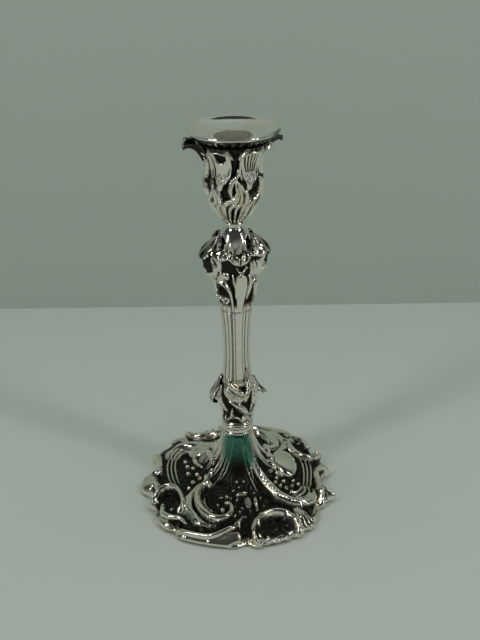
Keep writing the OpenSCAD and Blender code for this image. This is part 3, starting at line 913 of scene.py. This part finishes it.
for turn in (0, 180):
    p = upper_plate
    # the sides swell under the hooded leaves
    p.dome(at((-76, 166.5), turn=turn)[0], (11.5, 17), 8.7, how="add", form="soft")
    p.dome(at((-68, 166.5), turn=turn)[0], (6.2, 5.6), -1.0, how="add", form="flat", turn=20)
    p.stroke(at((-52, 170), (-47, 165), (-50, 160), (-62, 157.6), (-78, 156.5), turn=turn),
             [0.7, 1.1, 1.2, 1.1, 0.7],
             [4.0, 4.2, 4.0, 4.2, 4.6])
    p.stroke(at((-88, 160), (-84, 163), (-76, 165), turn=turn), [0.6, 1.2, 0.6], [4.5, 4.6, 4.4])
    p.dome(at((104, 164), turn=turn)[0], (1.6, 6.5), -2.4, how="add", form="flat")
    p.dome(at((84, 166), turn=turn)[0], (1.3, 5.5), -1.8, how="add", form="flat", turn=-12)
    # wavy edge of the leaf round the foot of the bulb, with its veins
    p.stroke(at((-66, 173.4), (-58, 174.2), (-44, 172.8), (-30, 171.8), (-16, 173), (-6, 171.9), (5, 169.8),
                (18, 169.7), (33, 172.4), (42, 174), (56, 173), (70, 172), turn=turn), 2.5, 1.5,
                form="flat")
    for angle, low in ((-50, 172), (-37, 171), (-23, 171.5), (-11, 171), (12, 168.5), (27, 170), (38, 172),
                       (50, 172)):
        p.stroke(at((angle, low), (angle + 2, low + 3), (angle, low + 6), turn=turn), 0.5, -0.8, how="add",
                 form="soft")
    # crescent and bead in the hollow
    p.stroke(at((4, 165.6), (11, 163), (19, 162.6), (27, 164.6), turn=turn), [0.5, 0.9, 0.9, 0.5],
             [0.6, 1.6, 1.6, 0.8])
    p.dome(at((29, 165.6), turn=turn)[0], (0.9, 1.1), 1.8)
    # folds of the leaf on the left
    for angle, height in ((-62, 160.5), (-48, 159), (-35, 160), (-23, 160)):
        p.dome(at((angle, height), turn=turn)[0], (2.0, 2.8), 1.7, turn=18)
    p.stroke(at((-68, 157.5), (-52, 156.2), (-38, 157.2), (-25, 156.4), turn=turn), 0.6,
             [0.8, 1.4, 1.4, 0.8])
    # black loops with a bright arch round each
    p.dome(at((-46, 150.5), turn=turn)[0], (4.8, 4.2), -0.8, how="add", form="flat")
    p.stroke(at((-64, 154.5), (-50, 155.2), (-34, 154.8), (-20, 152.4), (-13, 148), (-9, 142), (-8, 136),
                turn=turn),
             [0.8, 1.2, 1.3, 1.2, 1.1, 1.0, 0.7], [1.2, 1.8, 2.0, 2.0, 1.8, 1.5, 0.8])
    p.stroke(ring_of((-28, 143.6), 1.7, turn), 0.9, 1.8)
    p.stroke(at((-66, 148), (-60, 145), (-46, 144.4), (-37, 143), turn=turn), [0.8, 1.2, 1.2, 0.8],
             [1.2, 1.8, 1.8, 1.0])
    p.dome(at((60, 149.5), turn=turn)[0], (2.3, 4.6), -0.8, how="add", form="flat")
    p.stroke(at((43, 152), (52, 155.6), (64, 156), (74, 152), (75, 145), (66, 140), (58, 136), turn=turn),
             [0.7, 1.0, 1.1, 1.1, 1.1, 0.9, 0.6], [1.2, 1.8, 2.0, 2.0, 1.8, 1.4, 0.8])
    # plain shield at the front
    p.stroke(at((15, 135.5), (14, 141), (16, 147), (17, 153), (17, 158), turn=turn),
             [2.0, 2.6, 3.4, 4.0, 3.6],
             [0.3, 1.0, 1.3, 1.5, 1.6], form="flat")
    p.stroke(at((2, 158), (5, 152), (8, 146), (4, 140), turn=turn), 0.6, [0.8, -0.6, -0.6, 0.2], how="add",
             form="soft")
    p.stroke(at((-6, 161), (-3, 156), (2, 152), (0, 146), turn=turn), [0.6, 1.0, 1.0, 0.6],
             [0.8, 1.8, 1.6, 0.8])
    p.stroke(at((38, 160), (44, 156), (40, 150), (34, 144), turn=turn), [0.8, 1.2, 1.2, 0.6],
             [1.0, 2.0, 1.8, 0.8])
    # strands that rise to the right-hand leaf
    for k in range(3):
        p.stroke(at((44 + 9 * k, 158), (46 + 10 * k, 163), (44 + 10 * k, 168), turn=turn), [0.6, 1.1, 0.7],
                 [0.6, 1.6, 0.8])
upper_stations = [(9.9, 135), (10.6, 139), (11.1, 143), (11.5, 147), (12.0, 151), (12.5, 155), (12.9, 159),
                  (13.3, 163),
                  (13.6, 167), (13.8, 170), (12.8, 172.6), (11.4, 173.8), (10.9, 173.4)]
upper_outer = rounded(upper_stations, 10)
upper_outline = upper_outer + [(10.8, 164), (ROD_HOLE, 164), (ROD_HOLE, 135)]
upper = spin_outline("upper_leaf_knop", upper_outline, 400)
chase(upper_plate, 143, 180)
upper_soot = upper_plate.blackening(full=-0.3, clean=1.1, hollow=0.2)
upper_soot *= smoothstep(136, 142, upper_plate.vs)[:, None]
press(upper, upper_plate, upper_outline, len(upper_outer) - 1, wrap_place(UPPER_R),
      np.maximum(upper_soot, 0.6 * upper_plate.black), fade=0.3)
finish_piece(upper, "stick", cast_silver, "cast_silver", "upper_knop")
for side, turn in (("left", -76), ("right", 104)):
    leaf("hood_leaf_" + side, turn, [(9.0, 181.4), (12.4, 180.2), (16.2, 177.2), (19.4, 173.6),
                                     (21.2, 170.2), (20.4, 168.2)],
         [1.6, 3.8, 6.0, 7.0, 6.4, 4.0], cup=0.26, ribs=3.5, scallop=0.1, lobes=5)
for name, turn, reach in (("ear_leaf_right", 66, 15.2), ("ear_leaf_left", -114, 15.2),
                          ("ear_leaf_near", -58, 14.0),
                          ("ear_leaf_far", 122, 14.0)):
    leaf(name, turn, [(9.4, 183), (11.6, 182.4), (reach - 1.2, 180), (reach, 176.4), (reach - 0.6, 172)],
         [0.8, 2.6, 3.8, 4.0, 2.2], cup=0.42, ribs=1.5, scallop=0.1)

# %% [markdown]
# The bulb is the one plain part of the neck. It is burnished, with upright feathers engraved low
# down where the leaves begin.

# %% Burnished bulb
BULB_R = 8.0
FEATHERS = 14
bulb_plate = round_plate(BULB_R, 163, 188)
for k in range(FEATHERS):
    across = 2 * math.pi * BULB_R * (k + 0.5) / FEATHERS
    top = 181 if k % 2 else 178.5
    bulb_plate.stroke([(across, 168), (across, 174), (across + 0.4, top)], [1.7, 1.6, 0.3], [0.5, 0.6, 0.1])
bulb_stations = [(10.3, 164), (10.6, 168), (10.7, 172), (10.3, 176), (9.6, 179.6), (8.4, 183), (6.8, 186.2),
                 (5.7, 187.5)]
bulb_outer = rounded(bulb_stations, 12)
bulb_outline = bulb_outer + [(ROD_HOLE, 187.5), (ROD_HOLE, 164)]
bulb = spin_outline("neck_pear", bulb_outline, 256)
bulb_soot = np.clip((bulb_plate.blurred(0.7) - bulb_plate.h - 0.03) / 0.15, 0, 0.8)
press(bulb, bulb_plate, bulb_outline, len(bulb_outer) - 1, wrap_place(BULB_R), bulb_soot)
finish_piece(bulb, "stick", bright_silver, "polished_silver", "neck_bulb")

# %% [markdown]
# The cup is a tulip of six broad petals with rolled tops. A flame of twisted strands rises in each
# gap from a calyx that wraps the bottom, and two leaf ends spread out under the pan.

# %% Leaf-clad cup
CUP_R = 17.0
GAP = 60
cup_plate = round_plate(CUP_R, 189, 240, ground=-1.5)
at = by_angle(CUP_R)
for turn in range(0, 360, GAP):
    p = cup_plate
    # the petal to the left of this gap
    p.stroke(at((-30, 212.5), (-30, 216), (-27, 221), (-26, 227), (-25, 232), (-25, 234.4), turn=turn),
             [0.8, 2.6, 4.8, 6.0, 6.4, 6.3], [0.8, 1.5, 1.7, 1.7, 1.5, 1.2], form="flat")
    p.stroke(at((-50, 232), (-46, 234.6), (-37, 236.4), (-25, 237), (-13, 236.4), (-5, 234.6), (-1, 232),
                turn=turn),
             0.75, [1.6, 2.4, 2.8, 2.8, 2.8, 2.4, 1.6])
    for side in (-1, 1):
        p.stroke(at((-27 + 20 * side, 234), (-26 + 21.5 * side, 227), (-27 + 18 * side, 221),
                    (-30 + 5 * side, 213.5),
                    turn=turn), [0.5, 0.8, 0.8, 0.5], [1.8, 2.4, 2.4, 1.6])
    p.dome(at((-39, 217), turn=turn)[0], (1.8, 4.2), -0.9, how="add", form="soft", turn=15)
    p.dome(at((-18, 214.5), turn=turn)[0], (1.8, 3.8), -0.9, how="add", form="soft", turn=-15)
    if turn % 120 == 0:
        p.dome(at((-24, 233), turn=turn)[0], (3.4, 3.8), -2.6, how="add", form="flat")
        p.stroke(at((-41, 233), (-38, 226), (-36, 221), turn=turn), 0.6, [-1.2, -1.0, 0], how="add",
                 form="soft")
    else:
        for vein in range(5):
            p.stroke(at((-40 + 7 * vein, 235), (-38 + 6 * vein, 229), (-35 + 4 * vein, 224), turn=turn),
                     0.55,
                     [-1.6, -1.4, 0], how="add", form="soft")
    # the calyx strands and the flame in the gap
    p.stroke(at((-34, 191.5), (-28, 196), (-25, 202.5), (-15, 205.8), (0, 208), (6, 212), turn=turn),
             [2.6, 2.0, 2.2, 2.0, 1.4, 0.6],
             [0.9, 1.4, 2.4, 2.4, 2.2, 1.0])
    if turn % 180 == 0:
        p.stroke(at((-16, 191.5), (-13, 196), (-9, 202), (2, 205.4), (9, 209.5), (7, 215), turn=turn),
                 [2.0, 1.4, 1.7, 1.6, 1.3, 0.6], [0.9, 1.4, 2.2, 2.4, 2.2, 1.0])
    p.stroke(at((2, 191.5), (2, 196), (6, 202), (15, 205.5), (17, 210.5), (10, 216.5), turn=turn),
             [2.0, 1.3, 1.5, 1.5, 1.2, 0.6], [0.9, 1.4, 2.2, 2.4, 2.2, 1.0])
    p.stroke(at((16, 191.5), (17, 196), (21, 202), (27.5, 206), (27, 211), (18, 215.4), (8, 218.6),
                turn=turn),
             [2.0, 1.3, 1.6, 1.5, 1.5, 1.3, 0.6], [0.9, 1.4, 2.4, 2.6, 2.8, 2.6, 1.2])
    if turn % 180 == 0:
        p.stroke(at((-4, 209.5), (-7, 214), (-2, 218.6), (7, 221.6), (9, 226), turn=turn),
                 [1.0, 1.7, 1.8, 1.4, 0.5],
                 [1.4, 2.4, 2.6, 2.2, 0.8])
        p.stroke(at((4, 213), (6, 218), (11, 222), turn=turn), [0.5, 0.8, 0.4], [0.8, 1.8, 0.8])
cup_stations = [(5.2, 191), (6.2, 191.8), (8.2, 193.8), (10.4, 197), (12.0, 200.5), (13.3, 205),
                (14.7, 210), (15.6, 215),
                (15.1, 220), (15.0, 225), (16.0, 229.5), (18.0, 233.5), (20.2, 236.4), (21.0, 237.8)]
cup_outer = rounded(cup_stations, 12)
chase(cup_plate, 194, 222)
cup_outline = cup_outer + [(20.4, 238), (13, 238), (13, 206), (ROD_HOLE, 206), (ROD_HOLE, 191)]
cup = spin_outline("petal_cup", cup_outline, 440)
press(cup, cup_plate, cup_outline, len(cup_outer) - 1, wrap_place(CUP_R),
      cup_plate.blackening(full=0.0, clean=1.0, hollow=0.2), fade=0.5)
finish_piece(cup, "stick", cast_silver, "cast_silver", "capital_cup")
for side, turn in (("left", -73), ("right", 107)):
    leaf("cup_leaf_" + side, turn, [(17.2, 228), (19.6, 232.4), (22.6, 235.8), (26.2, 237), (29.2, 235.4)],
         [2.5, 6.0, 8.0, 6.0, 0.4], cup=-0.55, ribs=1.5, scallop=0.08, material=tip_silver)

# %% [markdown]
# The drip pan of the nozzle is a shallow burnished dish with a thin rolled lip. Underneath it is
# fluted; the flutes hold black tarnish, and the whole underside is painted dark as shade.

# %% Drip pan
PAN_R = 22.0
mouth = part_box("nozzle_sleeve")[1].z / MM
pan_plate = round_plate(PAN_R, 237, 246)
flutes = 0.4 * np.cos(30 * pan_plate.us / PAN_R)
fluted = smoothstep(238.2, 239.2, pan_plate.vs) * (1 - smoothstep(242.4, 243.4, pan_plate.vs))
pan_plate.h += flutes[None] * fluted[:, None]
pan_under = rounded([(17.4, 238), (19.6, 238.7), (21.4, 239.9), (23.4, 241.4), (25.4, 242.9),
                     (26.5, 243.7)], 8)
pan_top = rounded([(26.7, 244.2), (26.6, 244.75), (26.2, 245), (25.4, 244.6), (23.6, 243.2), (21.0, 241.9),
                   (17.6, 241.0),
                   (15.0, 240.6), (13.1, mouth)], 8)
pan_outline = pan_under + pan_top + [(13.05, mouth - 0.8), (12.0, mouth - 0.8), (12.0, 238)]
pan = spin_outline("drip_pan", pan_outline, 288)
# Painted shade: the whole underside of the pan is darkened to 0.72, and the flutes in it go fully black as
# tarnish.
pan_shade_and_tarnish = (0.72 + 0.28 * np.clip(-pan_plate.h / 0.2, 0, 1)) * (pan_plate.vs < 243.5)[:, None]
press(pan, pan_plate, pan_outline, len(pan_under) - 1, wrap_place(PAN_R), pan_shade_and_tarnish)
finish_piece(pan, "nozzle", pan_silver, "polished_silver", "nozzle_pan")

# %% [markdown]
# The remaining CAD pieces keep their shape and get their finish.

# %% Finishes of the carried-over pieces
FINISH = {
    "nozzle_sleeve": worn_tin, "socket_liner": tinned, "tie_rod": steel,
    "top_washer": steel, "top_nut": steel, "bottom_washer": steel, "bottom_nut": steel}
for name, material in FINISH.items():
    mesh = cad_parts[name].data
    mesh.materials.clear()
    mesh.materials.append(material)

# %% [markdown]
# The stage is a pale table and a plain wall behind it, under two small windows, two lamps and a
# wide ceiling light that silver doesn't mirror. Silver shows whatever is round it: the room is
# paler near the floor and dark overhead, so the faces that look up mirror a dark room.

# %% Stage and lights
def panel(name, corners, material):
    shape = bmesh.new()
    shape.faces.new([shape.verts.new(c) for c in corners])
    made = to_object(shape, name, smooth=False)
    made.data.materials.append(material)
    return made


def matt(name, colour, one_sided=False):
    made, tree, shader = new_material(name)
    shader.inputs["Base Color"].default_value = (*colour, 1)
    shader.inputs["Roughness"].default_value = 0.8
    if one_sided:
        clear = node(tree, "BsdfTransparent").outputs[0]
        back = node(tree, "NewGeometry").outputs["Backfacing"]
        mixed = node(tree, "MixShader", {0: back, 1: shader.outputs[0], 2: clear})
        tree.links.new(mixed.outputs[0], tree.nodes["Material Output"].inputs["Surface"])
    return made


WALL_Y, SPREAD, TALL = 0.278, 3.0, 2.0
panel("table", [(-SPREAD, -SPREAD, 0), (SPREAD, -SPREAD, 0), (SPREAD, SPREAD, 0), (-SPREAD, SPREAD, 0)],
      matt("pale_table", (0.65, 0.71, 0.65)))
panel("wall", [(-SPREAD, WALL_Y, 0), (SPREAD, WALL_Y, 0), (SPREAD, WALL_Y, TALL), (-SPREAD, WALL_Y, TALL)],
      matt("pale_wall", (0.535, 0.61, 0.545), one_sided=True))


def soft_light(name, place, target, size, power, mirrored=True):
    data = bpy.data.lights.new(name, "AREA")
    data.shape, data.size, data.size_y, data.energy = "RECTANGLE", *size, power
    made = bpy.data.objects.new(name, data)
    bpy.context.scene.collection.objects.link(made)
    made.location = place
    made.rotation_euler = (Vector(target) - Vector(place)).to_track_quat("-Z", "Y").to_euler()
    made.visible_glossy = mirrored


soft_light("window_left", (-0.62, -0.5, 0.95), (0, 0, 0.1), (0.14, 0.24), 1.5)
soft_light("window_right", (0.66, -0.42, 0.9), (0, 0, 0.1), (0.12, 0.24), 1.3)
soft_light("lamp_left", (-0.72, -0.52, 0.42), (0, 0, 0.15), (0.07, 0.2), 0.55)
soft_light("lamp_right", (0.76, -0.46, 0.42), (0, 0, 0.15), (0.06, 0.2), 0.5)
soft_light("ceiling", (0, 0.0, 1.6), (0, 0, 0), (1.6, 1.4), 9.0, mirrored=False)
world = bpy.data.worlds.new("dim_room")
world.use_nodes = True
room = world.node_tree
way_up = node(room, "SeparateXYZ", {0: node(room, "TexCoord").outputs["Generated"]}).outputs["Z"]
shade = ramp(room, way_up, [
    (0.0, (0.245, 0.265, 0.23)), (0.12, (0.175, 0.19, 0.167)), (0.35, (0.035, 0.038, 0.034))])
room.links.new(shade, room.nodes["Background"].inputs["Color"])
bpy.context.scene.world = world
bpy.context.scene.view_settings.view_transform = "Standard"
